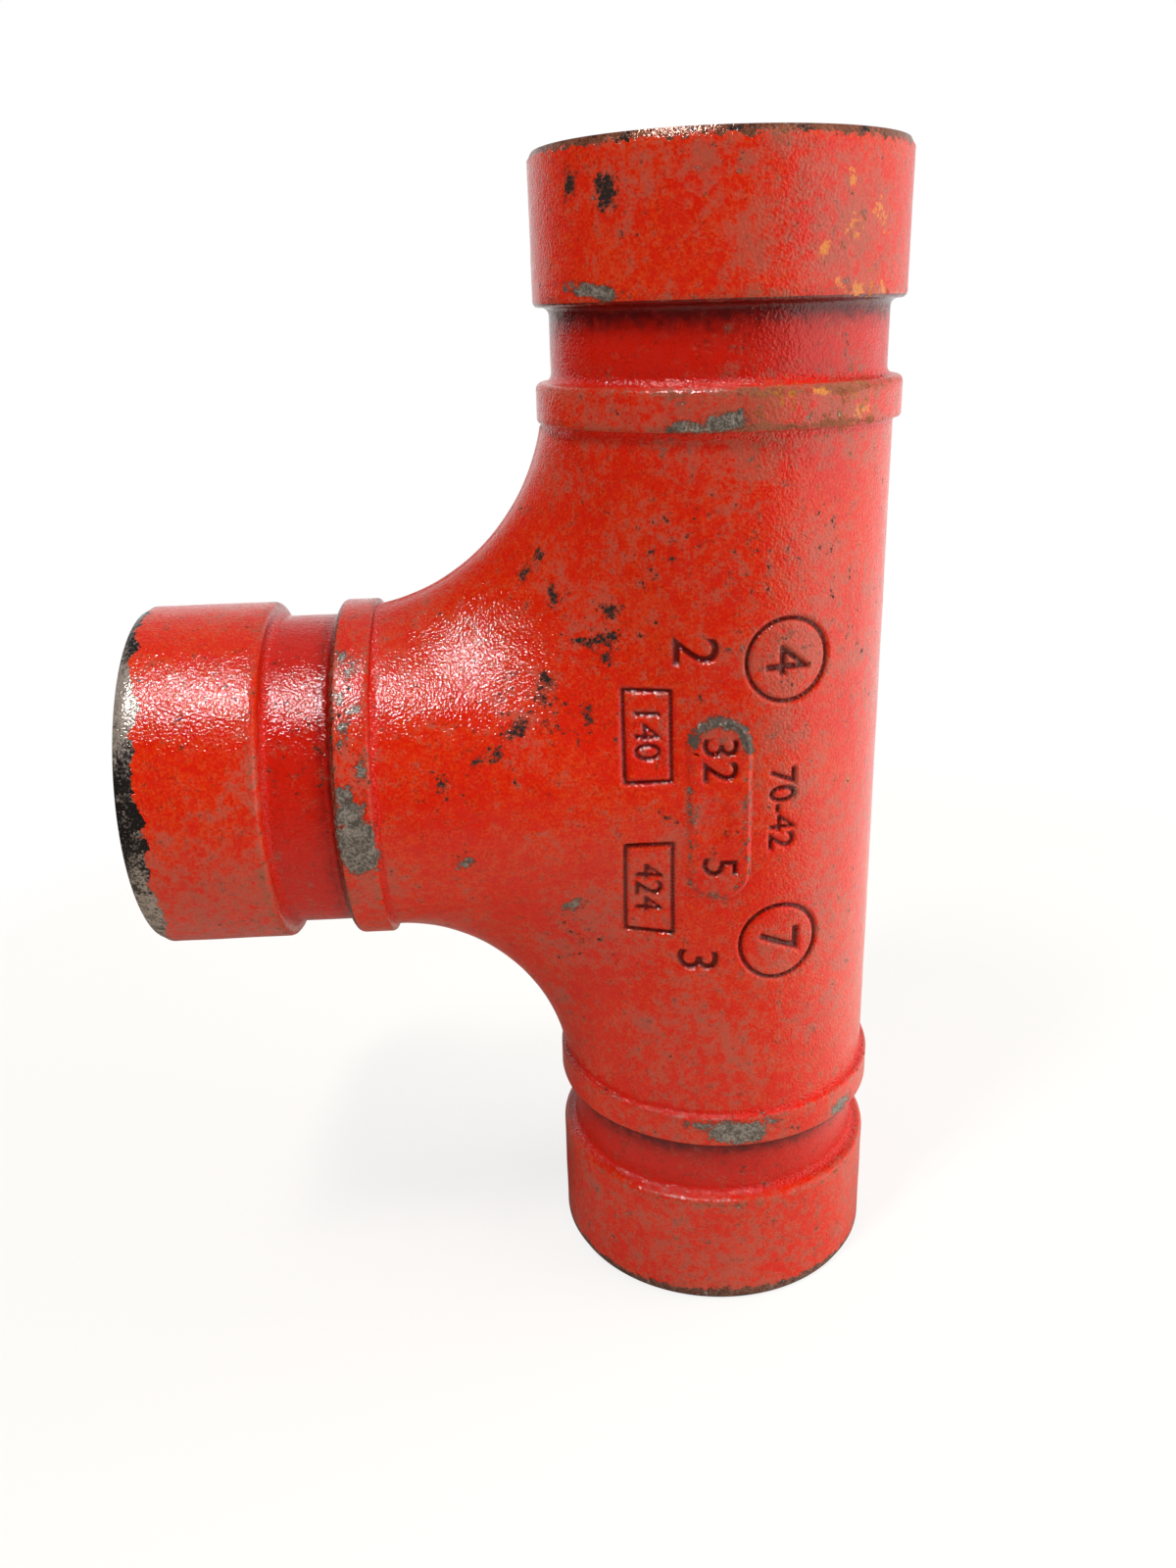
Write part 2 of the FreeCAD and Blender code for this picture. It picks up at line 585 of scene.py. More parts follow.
def pressMarks(piece):
    texts = [flatText(*entry) for entry in marks["texts"]]
    rims = [outlineOf(text) for text in texts]
    for text in texts:
        selectOnly(text)
        bpy.ops.object.delete()
    refineUnderMarks(piece, rims)
    strokes, pad, dimple = markDistances(piece, rims)
    weigh(piece, "pad", 1 - smoothStep(*marks["padEdge"], pad))
    press(piece, "pad", marks["padHeight"] * mm)
    weigh(piece, "dimple", 1 - smoothStep(*marks["dimpleEdge"], dimple))
    press(piece, "dimple", -marks["dimpleDepth"] * mm)
    bottom, top = marks["wall"]
    weigh(piece, "strokes", np.clip((top - strokes) / (top - bottom), 0, 1))
    press(piece, "strokes", -marks["depth"] * mm)
    print("marks pressed,", len(piece.data.polygons), "faces")
    return strokes, pad


def raiseSeam(piece):
    # the parting line of the mould, between the ribs
    points = readPoints(piece) / mm
    reach = centre - ribEnd - 0.5
    inside = (np.abs(points[:, 2] - centre) < reach + 0.2) & (points[:, 0] > -reach - 0.2)
    ridge = np.clip(1 - np.abs(points[:, 1]) / (casting["seamWidth"] / 2), 0, 1)
    weigh(piece, "seam", ridge * inside * readWeights(piece, "skin"))
    press(piece, "seam", casting["seamHeight"] * mm)


lumps = {
    "size": 6.0,
    "height": 0.09,
}


def lumpSkin(piece):
    # the uneven skin of a sand casting, never outside its nominal size
    texture = bpy.data.textures.new("lumps", "CLOUDS")
    texture.noise_scale = lumps["size"] * mm
    texture.noise_depth = 1
    press(piece, "skin", lumps["height"] * mm, texture, 1.0)


lumpSkin(tee)
raiseSeam(tee)
strokes, pad = pressMarks(tee)


# wear: where paint is gone, worn thin or pooled, kept as distances on the skin

wear = {
    # x, z, half width, half height and turn in degrees of bare spots on the front
    "bare": [
        (-15.0, 125.6, 2.2, 0.6, -12), (-2.2, 112.7, 1.9, 0.8, 8), (-5.8, 112.2, 1.6, 0.5, 0),
        (-43.6, 67.6, 2.1, 3.3, 8), (-44.3, 71.6, 1.5, 1.4, 0), (-44.7, 73.9, 0.8, 0.8, 0),
        (-43.7, 86.2, 0.6, 0.35, 30), (-44.7, 87.3, 0.35, 0.4, 0), (-44.9, 83.8, 0.45, 0.35, 0),
        (-43.3, 82.6, 0.5, 0.3, 0), (-44.6, 81.0, 0.5, 0.5, 20), (-44.4, 79.3, 0.3, 0.3, 0),
        (-42.6, 76.4, 0.4, 0.9, 0), (0.2, 26.3, 3.5, 1.5, -4), (-4.4, 27.2, 1.3, 0.4, 0),
        (4.6, 27.5, 0.9, 0.4, -10), (14.6, 25.4, 1.3, 0.8, 20), (-19.3, 56.7, 1.2, 0.6, 35),
        (-31.7, 64.2, 0.8, 0.5, 10), (-5.2, 78.2, 0.6, 0.42, 70), (-4.3, 79.6, 0.9, 0.45, 40),
        (-2.8, 80.3, 1.0, 0.5, 10), (-1.2, 80.1, 1.0, 0.5, -20), (0.1, 79.2, 0.9, 0.5, -50),
        (0.7, 77.8, 0.8, 0.42, -80),
    ],
    "dark": [
        (-21.7, 97.6, 0.35, 0.45, 0), (-23.3, 95.9, 0.30, 0.75, -35),
        (-14.0, 92.5, 0.85, 0.42, 0), (-20.3, 93.4, 0.38, 0.85, 0), (-16.2, 88.9, 1.5, 0.34, 6),
        (-14.3, 89.5, 0.75, 0.38, 8), (-14.6, 87.2, 0.40, 0.35, 0), (-21.4, 84.6, 0.65, 0.5, -20),
        (-22.0, 82.6, 0.40, 0.35, 0), (-24.3, 80.5, 0.55, 0.5, 0), (-25.5, 79.4, 0.8, 0.4, 25),
        (-16.9, 81.0, 0.42, 0.8, 0), (-21.4, 80.0, 0.35, 0.42, 0), (-27.6, 77.2, 0.45, 0.5, 0),
        (-28.8, 76.8, 0.7, 0.3, 25), (-33.6, 74.4, 0.38, 0.6, 0), (-17.1, 135.9, 0.4, 1.0, -6),
        (-13.6, 134.8, 0.8, 1.3, 0),
    ],
    "rust": [
        (11.9, 125.2, 0.55, 0.5, 0), (14.9, 125.0, 0.4, 0.35, 0), (14.0, 132.6, 0.35, 0.6, 0),
        (14.8, 131.6, 0.3, 0.4, 0), (11.6, 131.5, 0.45, 0.4, 0), (10.8, 130.2, 0.4, 0.45, 0),
        (10.7, 135.2, 0.4, 0.35, 0), (7.6, 128.5, 0.3, 0.4, 0), (9.7, 125.5, 0.4, 0.3, 0),
        (13.9, 70.8, 0.32, 0.55, 0), (13.0, 113.2, 0.6, 0.4, 0), (8.0, 115.3, 0.5, 0.3, 0),
    ],
    # how many spots and patches the other sides get, and their sizes from and to
    "elsewhere": {
        "bare": (26, (0.5, 1.8)), "dark": (60, (0.3, 0.9)), "rust": (22, (0.3, 0.8)),
        "grime": (40, (3, 9)), "chipped": (24, (2.5, 5)), "rusty": (14, (1.5, 4)),
    },
    "spotDepth": 0.04,
    "hiddenGrime": 0.7,
    # depth behind the end face and radius of the edges that rub and the corners that fill
    "edges": [(0.4, 20.95), (15.2, 21.2), (24.3, 21.1), (28.2, 21.2)],
    "corners": [(16.1, 19.6), (23.6, 19.6), (28.6, 20.55)],
    # x, z, reach and amount of soft patches where the paint is dirty, chipped in
    # small bits or stained with rust; the broad dirt patches low on the run and on the lower
    # half of the branch are partly painted floor reflection and painted shade, duller and pinker
    "grime": [
        (0.0, 9.0, 24, 0.75), (-4.0, 36.0, 14, 0.6), (-17.0, 52.0, 8, 0.8),
        (-60.0, 56.0, 11, 0.95), (10.5, 113.6, 7, 1.6), (1.8, 113.2, 7, 1.5),
        (-6.1, 112.9, 6, 1.2), (-13.0, 113.2, 5, 0.8), (-4.3, 135.5, 4, 0.8),
        (2.0, 130.0, 6, 0.8), (10.0, 130.3, 8, 1.2), (-13.0, 135.0, 4, 0.6),
        (-4.3, 137.2, 1.5, 1.4), (0.0, 136.6, 1.2, 1.3), (1.0, 128.0, 1.4, 1.4),
        (5.6, 135.3, 1.6, 1.4), (7.8, 127.7, 1.4, 1.5), (2.9, 138.6, 2.0, 1.5),
        (-1.6, 121.5, 1.5, 1.2), (10.5, 120.5, 4, 1.0), (-6.0, 107.0, 4, 0.5),
        (0.1, 103.7, 5, 0.5), (6.7, 99.2, 6, 0.5), (11.9, 92.0, 6, 0.6), (-7.0, 99.6, 5, 0.5),
        (-1.9, 95.5, 5, 0.6), (15.4, 81.8, 6, 0.6), (13.4, 64.1, 6, 0.6), (11.0, 52.0, 6, 0.7),
        (10.1, 40.0, 6, 0.7), (-21.2, 84.0, 4, 0.6), (-24.8, 79.5, 4, 0.6), (-16.6, 89.4, 4, 0.6),
        (-18.5, 94.5, 5, 0.4), (-15.2, 99.0, 4, 0.4), (-1.8, 85.6, 4, 0.6), (6.8, 79.2, 4, 0.5),
        (-18.8, 55.8, 4, 0.5), (-17.7, 47.8, 4, 0.5), (-13.7, 7.3, 7, 0.6), (1.4, 5.6, 8, 0.7),
        (-6.2, 14.5, 5, 0.4), (-8.0, 26.5, 6, 0.7), (6.3, 26.2, 6, 0.8), (15.2, 24.7, 5, 0.8),
        (-54.5, 76.0, 4, 0.7), (-54.5, 64.0, 5, 0.8), (-62.0, 63.5, 6, 0.5),
        (-44.5, 85.5, 4, 0.9), (-43.0, 76.0, 4, 0.8), (-43.2, 60.5, 4, 0.9),
        (-16.5, 106.5, 4, 0.5), (5.5, 88.5, 4.0, 1.4), (4.5, 84.5, 3.5, 1.0),
        (1.2, 87.5, 2.0, 1.3), (5.1, 52.2, 4.5, 1.0), (-2.3, 79.3, 3.2, 1.2),
        (-4.6, 70.0, 2.2, 1.1), (1.5, 70.0, 2.0, 0.9), (-2.3, 60.5, 3.5, 0.9),
        (4.9, 79.0, 3.0, 1.3), (6.8, 72.0, 2.5, 1.0), (-10.4, 78.6, 4, 0.7),
        (-10.4, 59.6, 4, 0.7), (10.0, 57.0, 4, 1.1), (14.0, 86.0, 3.0, 1.1),
        (-7.7, 66.5, 2.0, 0.9), (-62.0, 57.5, 8, 1.1), (-56.5, 60.0, 6, 1.0),
        (-50.0, 59.0, 5, 0.8), (-17.5, 11.9, 1.4, 1.6), (-12.6, 4.9, 1.5, 1.4),
        (-2.2, 7.3, 1.6, 1.3), (-7.1, 9.6, 1.3, 1.2), (6.7, 6.3, 1.3, 1.2), (15.2, 4.6, 1.4, 1.3),
        (-20.8, 40.0, 1.5, 1.4), (-11.2, 40.5, 1.8, 1.4), (-4.3, 42.5, 1.3, 1.3),
        (3.0, 32.8, 1.2, 1.4), (9.5, 38.8, 1.5, 1.3), (12.5, 41.8, 2.0, 1.3),
        (14.5, 46.5, 2.0, 1.2), (-0.8, 31.3, 1.0, 1.2),
    ],
    "chipped": [
        (-14.5, 91.5, 3.5, 1.0), (-8.5, 98.5, 4.0, 0.9), (-21.5, 83.0, 3.5, 1.0),
        (-18.5, 80.0, 3.5, 0.9), (-26.5, 79.0, 3.5, 0.9), (-33.0, 74.0, 3.5, 0.7),
        (-11.0, 90.0, 3.5, 0.7), (-39.0, 80.0, 3.0, 0.5), (-22.5, 96.5, 2.5, 0.6),
        (-6.0, 101.5, 4.0, 0.8), (2.0, 97.0, 6.0, 0.5), (9.0, 100.0, 6.0, 0.5),
        (-18.5, 52.0, 5.0, 0.7), (14.0, 90.0, 6.0, 0.5), (-44.5, 79.0, 6.0, 0.8),
        (-51.5, 74.0, 2.5, 0.7), (-56.0, 84.0, 5.0, 0.4), (5.0, 86.5, 4.0, 0.6),
        (-8.0, 70.0, 3.0, 0.5),
    ],
    "rusty": [
        (11.8, 130.5, 4.0, 0.7), (13.5, 125.3, 2.5, 0.9), (8.0, 127.0, 2.5, 0.6),
        (12.0, 113.6, 5.0, 1.0), (3.5, 114.8, 4.0, 1.0), (-3.5, 134.0, 3.0, 0.4),
        (-8.0, 103.5, 4.0, 0.35), (14.0, 70.6, 1.2, 0.7), (1.0, 96.0, 3.0, 0.4),
    ],
    # how far the bare rim of each end reaches, its unevenness and how brown it is
    "rims": {"lower": (1.35, 0.6, 0.75), "upper": (0.75, 0.35, 1.0), "branch": (1.0, 0.5, 0.0)},
    "rimWaves": 9,
    # z, reach and brightness of the bare rim on the front of the branch; its brightest stretch,
    # high on the branch, is partly a painted highlight
    "branchRim": [
        (49.0, 0.9, 0.40), (54.0, 1.1, 0.50), (58.0, 2.4, 0.75), (61.0, 2.7, 0.70),
        (63.5, 2.3, 0.50), (66.0, 2.4, 0.42), (69.0, 3.0, 0.18), (73.0, 2.6, 0.10),
        (76.0, 2.0, 0.20), (79.0, 2.1, 0.45), (81.5, 2.2, 0.80), (83.5, 2.9, 1.00),
        (86.0, 2.0, 0.95), (88.0, 1.2, 0.40), (89.0, 1.9, 0.15), (90.0, 1.0, 0.10),
    ],
}


readings = []


def pipePlaces(points):
    # depth behind the nearest end face and distance from that pipe's axis
    run = np.hypot(points[:, 0], points[:, 1])
    branch = np.hypot(points[:, 1], points[:, 2] - centre)
    lower, upper, side = points[:, 2], 2 * centre - points[:, 2], points[:, 0] + centre
    depth = np.minimum(lower, upper)
    radius = run.copy()
    onBranch = side < depth
    depth[onBranch] = side[onBranch]
    radius[onBranch] = branch[onBranch]
    return depth, radius


def spotDistance(points, spots, facing):
    # to the rims of oval spots, below 0 inside them
    nearest = np.full(len(points), farOff)
    for x, z, wide, tall, turn in spots:
        angle = math.radians(turn)
        dx, dz = points[:, 0] - x, points[:, 2] - z
        across = (dx * math.cos(angle) + dz * math.sin(angle)) / wide
        up = (dz * math.cos(angle) - dx * math.sin(angle)) / tall
        oval = ((across ** 4 + up ** 4) ** 0.25 - 1) * math.sqrt(wide * tall)
        oval[~facing] = farOff
        nearest = np.minimum(nearest, oval)
    return nearest


def scatterSpots(points, nearest, away, count, sizes):
    # round spots on the sides that the photograph does not show
    for index in rng.choice(away, count, replace=False):
        size = rng.uniform(*sizes)
        stretch = rng.uniform(0.6, 1.6, 3)
        gap = np.sqrt((((points - points[index]) * stretch) ** 2).sum(axis=1))
        nearest = np.minimum(nearest, gap - size)
    return nearest


def softPatches(points, patches, facing, away, count, reach):
    amount = np.zeros(len(points))
    for x, z, size, strength in patches:
        gap = np.hypot(points[:, 0] - x, points[:, 2] - z) / size
        amount = np.maximum(amount, strength * np.exp(-gap * gap) * facing)
    for index in rng.choice(away, count, replace=False):
        gap = np.sqrt(((points - points[index]) ** 2).sum(axis=1)) / rng.uniform(*reach)
        amount = np.maximum(amount, rng.uniform(0.5, 0.9) * np.exp(-gap * gap))
    return amount


def rimReadings(points, depth):
    # distance past the edge of the paint at each rim, and the rim's tone
    onBranch = points[:, 0] + centre < depth + 1e-6
    onUpper = ~onBranch & (points[:, 2] > centre)
    angle = np.where(onBranch, np.arctan2(points[:, 2] - centre, points[:, 1]),
                     np.arctan2(points[:, 1], points[:, 0]))
    reach, tone = np.empty(len(points)), np.empty(len(points))
    for name, chosen in (("lower", ~onBranch & ~onUpper), ("upper", onUpper), ("branch", onBranch)):
        width, unevenness, brown = wear["rims"][name]
        wave = np.zeros(chosen.sum())
        for turn in range(1, wear["rimWaves"]):
            swing = np.sin(turn * angle[chosen] + rng.uniform(0, tau))
            wave += swing * rng.uniform(0.2, 1) / turn ** 0.5
        reach[chosen] = width * (1 + unevenness * 0.35 * wave)
        tone[chosen] = brown
    heights, reaches, shine = (np.array(column) for column in zip(*wear["branchRim"]))
    front = onBranch & (points[:, 1] < 0)
    reach[front] = np.interp(points[front, 2], heights, reaches) * (0.9 + reach[front] * 0.1)
    return depth - np.maximum(reach, 0.15), tone, np.interp(points[:, 2], heights, shine)


def addReading(piece, name, values):
    # a value at each vertex, for the paint to read
    reading = piece.data.attributes.new(name, "FLOAT", "POINT")
    reading.data.foreach_set("value", np.ascontiguousarray(values, dtype=np.float32))
    readings.append(name)


def wearSkin(piece):
    points, normals = readPoints(piece) / mm, readNormals(piece)
    skin = readWeights(piece, "skin") > 0.5
    facing = skin & (normals[:, 1] < 0)
    away = np.nonzero(skin & (points[:, 1] > 2))[0]
    depth, radius = pipePlaces(points)
    edges, corners = ([np.hypot(depth - d, radius - r) for d, r in wear[name]]
                      for name in ("edges", "corners"))
    edges[2] += points[:, 2] < centre / 2  # the lower rib is not rubbed underneath
    addReading(piece, "edgeNear", np.min(edges, axis=0))
    addReading(piece, "creviceNear", np.min(corners, axis=0))
    # distance to the groove corners that look down, beneath the upper collar and the lower rib, and
    # to the rib side of the branch groove; the paint reads it for painted shadow
    fromCollar, fromRib = depth - grooveStart, ribStart - depth
    branch = points[:, 0] + centre < np.minimum(points[:, 2], 2 * centre - points[:, 2])
    fromShadedCorner = np.where((points[:, 2] > centre) & ~branch, fromCollar, fromRib + branch)
    outside = (depth < grooveStart - 0.7) | (depth > ribStart + 0.7)
    addReading(piece, "shadedCornerNear", np.where(outside, farOff, fromShadedCorner))
    for kind in ("bare", "dark", "rust"):
        nearest = spotDistance(points, wear[kind], facing)
        nearest = scatterSpots(points, nearest, away, *wear["elsewhere"][kind])
        addReading(piece, kind + "Near", nearest)
        if kind != "rust":
            weigh(piece, kind + "Spots", (1 - smoothStep(-0.3, 0.1, nearest)) * skin)
            press(piece, kind + "Spots", -wear["spotDepth"] * mm)
    for kind in ("grime", "chipped", "rusty"):
        patches = softPatches(points, wear[kind], facing, away, *wear["elsewhere"][kind])
        if kind == "grime":
            patches = np.where(skin, patches, wear["hiddenGrime"])
        addReading(piece, kind, patches)
    for name, values in zip(("rimNear", "rimTone", "rimShine"), rimReadings(points, depth)):
        addReading(piece, name, values)
    addReading(piece, "endDepth", depth)
    addReading(piece, "axisGap", radius)
    addReading(piece, "onSkin", skin.astype(float))
    addReading(piece, "strokeNear", strokes)
    addReading(piece, "padNear", pad)
    print("wear laid")


wearSkin(tee)
selectOnly(tee)
bpy.ops.object.shade_smooth_by_angle(angle=math.radians(50))


# materials

class Wire:
    # a socket that takes part in Python expressions, each of which adds a Math node
    def __init__(self, finish, socket):
        self.finish = finish
        self.socket = socket

    def maths(self, operation, *values):
        numbered = dict(enumerate(values))
        return self.finish.add("Math", {"operation": operation}, numbered)

    def __add__(self, other):
        return self.maths("ADD", self, other)

    __radd__ = __add__

    def __sub__(self, other):
        return self.maths("SUBTRACT", self, other)

    def __rsub__(self, other):
        return self.maths("SUBTRACT", other, self)

    def __mul__(self, other):
        return self.maths("MULTIPLY", self, other)

    __rmul__ = __mul__

    def magnitude(self):
        return self.maths("ABSOLUTE", self)

    def most(self, other):
        return self.maths("MAXIMUM", self, other)

    def least(self, other):
        return self.maths("MINIMUM", self, other)

    def between(self, low, high):
        # 0 below low, 1 above high, soft on the way
        values = {0: self, 1: low, 2: high, 3: 0.0, 4: 1.0}
        return self.finish.add("MapRange", {"interpolation_type": "SMOOTHSTEP"}, values)


class Finish:
    def __init__(self, name, tree=None):
        if tree is None:
            self.material = bpy.data.materials.new(name)
            self.material.use_nodes = True
            tree = self.material.node_tree
        self.tree = tree
        self.tree.nodes.clear()

    def add(self, kind, settings=None, values=None, output=0):
        node = self.tree.nodes.new("ShaderNode" + kind)
        for name, value in (settings or {}).items():
            setattr(node, name, value)
        for name, value in (values or {}).items():
            if isinstance(value, Wire):
                self.tree.links.new(value.socket, node.inputs[name])
            else:
                node.inputs[name].default_value = value
        return Wire(self, node.outputs[output]) if node.outputs else None

    def reading(self, name):
        return self.add("Attribute", {"attribute_name": name}, output="Fac")

    def place(self):
        return self.add("TexCoord", output="Object")

    def uneven(self, where, size, detail, roughness, seed):
        # noise with blotches of a size in millimetres, brought to a mean of 0 and a spread of 1
        shift = (seed, seed * 0.7, seed * 1.3)
        moved = self.add("VectorMath", {"operation": "ADD"}, {0: where, 1: shift})
        noise = self.add("TexNoise", {}, {"Vector": moved, "Scale": 1 / (size * mm),
                                          "Detail": detail, "Roughness": roughness})
        shares = [roughness ** octave for octave in range(detail + 1)]
        spread = 0.125 * math.hypot(*shares) / sum(shares)
        return (noise - 0.5) * (1 / spread)

    def mixColour(self, factor, first, second):
        values = {0: factor, 6: first, 7: second}
        return self.add("Mix", {"data_type": "RGBA"}, values, output=2)

    def dot(self, direction, other):
        values = {0: direction, 1: other}
        return self.add("VectorMath", {"operation": "DOT_PRODUCT"}, values, output="Value")

    def ray(self, kind):
        return self.add("LightPath", output=f"Is {kind} Ray")


paint = {
    "red": (0.60, 0.010, 0.0010, 1),
    "light": (0.66, 0.046, 0.0025, 1),
    "deep": (0.26, 0.004, 0.002, 1),
    # near black red for painted shadow in groove corners and painted shade in the pressed strokes
    "shadowRed": (0.085, 0.002, 0.002, 1),
    "pooled": (0.64, 0.010, 0.001, 1),
    # pink of dust, and of painted floor reflection on the lower parts
    "dustAndSheenPink": (0.45, 0.080, 0.052, 1),
    "umber": (0.18, 0.046, 0.024, 1),
    "brown": (0.07, 0.022, 0.010, 1),
    "tan": (0.26, 0.098, 0.053, 1),
    # bare iron at its brightest, partly a painted highlight on the branch rim
    "bright": (0.42, 0.350, 0.300, 1),
    "iron": (0.36, 0.315, 0.270, 1),
    "grey": (0.11, 0.090, 0.074, 1),
    "darkIron": (0.020, 0.016, 0.015, 1),
    "rust": (0.62, 0.21, 0.025, 1),
    "specular": 0.75,
    "matte": 0.17,
    "shiny": 0.09,
    "rough": 0.40,
    "bumpHeight": 0.0095,
    "earthRoughness": 0.8,
    "earthSpecular": 0.1,
    # size in millimetres, octaves, roughness and seed of each noise
    "noises": {
        "peel": (0.32, 1, 0.5, 0.0), "pits": (1.7, 0, 0.5, 0.2), "grain": (0.34, 3, 0.75, 0.3),
        "mottle": (1.3, 4, 0.70, 0.7), "drift": (9.0, 3, 0.6, 1.1), "flaky": (1.0, 5, 0.78, 1.9),
        "stain": (1.6, 4, 0.75, 2.6),
    },
    # how much of each coat shows where it is thickest; the corner, stroke and groove coats are
    # painted shade, and the dust coat is partly painted floor reflection
    "cover": {
        "shade": 0.6, "dust": 0.75, "shadedGroove": 0.7, "corner": 0.95, "pooled": 0.8, "strokeShade": 0.9,
        "film": 0.32, "dirty": 0.45, "rusted": 0.8, "fringe": 0.65, "rustSpot": 0.85,
    },
}


def soundPaint(finish, uneven, skin):
    # the paint where it holds, its thin and thick places and the dust on it, which low on the parts
    # is partly painted floor reflection;
    # painted shade in the grooves and pressed strokes, and painted shadow in the groove corners
    # that look down
    mottle, grain, drift, flaky, stain = (
        uneven[name] for name in ("mottle", "grain", "drift", "flaky", "stain"))
    fromShadedCorner, grime, cover = skin["shadedCornerNear"], skin["grime"], paint["cover"]
    groove = (1 - skin["axisGap"].between(19.5, 20.1)) * (1 - skin["endDepth"].between(24.0, 24.6))
    groove = groove * skin["onSkin"]
    # the groove floor is pushed to the darker red and kept clean of dust: partly painted shade of
    # the groove's walls
    tone = (mottle * 0.5 + grain * 0.55 + drift * 0.3 - groove * 2).between(-1.6, 2.0)
    colour = finish.mixColour(tone, paint["red"], paint["light"])
    shade = (mottle * 0.6 + flaky * 0.3 - grain * 0.4 + grime * 0.4).between(0.2, 2.8)
    colour = finish.mixColour(shade * cover["shade"], colour, paint["deep"])
    # dust, and on the broad patches low on the run and the branch a painted floor reflection:
    # duller, pinker paint
    dustAndSheen = drift * 0.4 + mottle * 0.6 + stain * 0.3 + grain * 0.3 + grime * 2.1 - groove * 1.4
    colour = finish.mixColour(dustAndSheen.between(0.2, 2.8) * cover["dust"], colour, paint["dustAndSheenPink"])
    # painted shade: the whole groove floor is darkened, more so towards the corner that looks down
    shaded = 1 - (fromShadedCorner + mottle * 0.3).between(0.4, 3.6)
    shaded = groove * (0.2 + shaded * cover["shadedGroove"])
    colour = finish.mixColour(shaded, colour, paint["deep"])
    # painted shadow: near black red in the groove corners that look down, beneath the collar of the
    # upper end and the rib of the lower end, and beside the rib in the branch groove
    corner = (1 - (fromShadedCorner + mottle * 0.2).between(0.3, 2.6)) * skin["onSkin"]
    colour = finish.mixColour(corner * cover["corner"], colour, paint["shadowRed"])
    pooled = 1 - (skin["creviceNear"] + mottle * 0.08).between(0.45, 0.80)
    pooled = pooled * fromShadedCorner.between(1.2, 2.0)
    # painted shade: the pressed strokes are painted near black red towards their bottoms
    strokeShade = 1 - skin["strokeNear"].between(-0.30, 0.06)
    colour = finish.mixColour(pooled * cover["pooled"], colour, paint["pooled"])
    return finish.mixColour(strokeShade * cover["strokeShade"], colour, paint["shadowRed"]), pooled


def addDirt(finish, uneven, skin, colour, pooled, padRub):
    # dirt in specks that crowd where it gathers and where paint is rubbed thin
    mottle, grain, flaky, stain = (uneven[name] for name in ("mottle", "grain", "flaky", "stain"))
    grime, cover = skin["grime"], paint["cover"]
    edgeRub = 1 - (skin["edgeNear"] + mottle * 0.12).between(0.1, 1.1)
    crowd = grime * grime * 1.2 + edgeRub * 2.2 + padRub * 1.4
    film = (stain * 0.8 + crowd).between(0.9, 3.6)
    reach = mottle * 0.6 + flaky * 0.5 + grain * 0.2 + crowd
    dirty = reach.between(2.8, 3.9) * (1 - pooled)
    dirtTone = (stain * 0.5 + grain * 0.9 + crowd * 0.4).between(-0.8, 2.6)
    dirt = finish.mixColour(dirtTone, paint["umber"], paint["tan"])
    colour = finish.mixColour(film * (cover["film"] + grain * 0.10), colour, dirt)
    thick = (crowd * 0.12 + cover["dirty"]).least(0.85)
    colour = finish.mixColour(dirty * thick, colour, dirt)
    rusted = (flaky * 0.7 + mottle * 0.4 + skin["rusty"] * 1.9).between(2.6, 3.1)
    colour = finish.mixColour(rusted * cover["rusted"], colour, paint["rust"])
    return colour, dirt, dirty, rusted


def bareIron(finish, uneven, skin, colour, dirt, padRub):
    # places where the paint is gone, with ragged rims
    mottle, grain, flaky, stain = (uneven[name] for name in ("mottle", "grain", "flaky", "stain"))
    cover = paint["cover"]
    ragged = mottle * 0.16 + flaky * 0.17 + grain * 0.05
    padWorn = 1.2 - (padRub + skin["grime"] * 0.5 + mottle * 0.35 + flaky * 0.35) * 0.6
    bareNear = (skin["bareNear"] + ragged).least(padWorn)
    chips = 1.6 - (flaky * 0.75 + mottle * 0.30 + stain * 0.25 + skin["chipped"] * 1.35) * 0.6
    darkNear = (skin["darkNear"] + ragged).least(chips)
    fringe = 1 - bareNear.least(darkNear).between(0.0, 0.45)
    colour = finish.mixColour(fringe * cover["fringe"], colour, paint["brown"])
    bareSpot = 1 - bareNear.between(-0.04, 0.08)
    darkSpot = 1 - darkNear.between(-0.06, 0.06)
    rustSpot = 1 - (skin["rustNear"] + ragged * 1.2).between(-0.10, 0.04)
    rimBare = 1 - (skin["rimNear"] + mottle * 0.2).between(-0.06, 0.06)
    scraped = (grain * 0.8 + mottle * 0.4 - padRub * 1.6).between(-1.4, 1.6)
    iron = finish.mixColour(scraped, paint["grey"], paint["iron"])
    # the bright iron high on the front of the branch rim is partly a painted highlight
    shine = (skin["rimShine"] + grain * 0.16 + mottle * 0.1).between(0.15, 0.85)
    rimIron = finish.mixColour(shine, paint["darkIron"], paint["bright"])
    rimColour = finish.mixColour(skin["rimTone"] * stain.between(-2.6, -0.6), rimIron, dirt)
    colour = finish.mixColour(rimBare, colour, rimColour)
    colour = finish.mixColour(bareSpot, colour, iron)
    darkMix = finish.mixColour(grain.between(-0.2, 2.6), paint["darkIron"], paint["umber"])
    colour = finish.mixColour(darkSpot, colour, darkMix)
    colour = finish.mixColour(rustSpot * cover["rustSpot"], colour, paint["rust"])
    return colour, bareSpot, darkSpot, rimBare


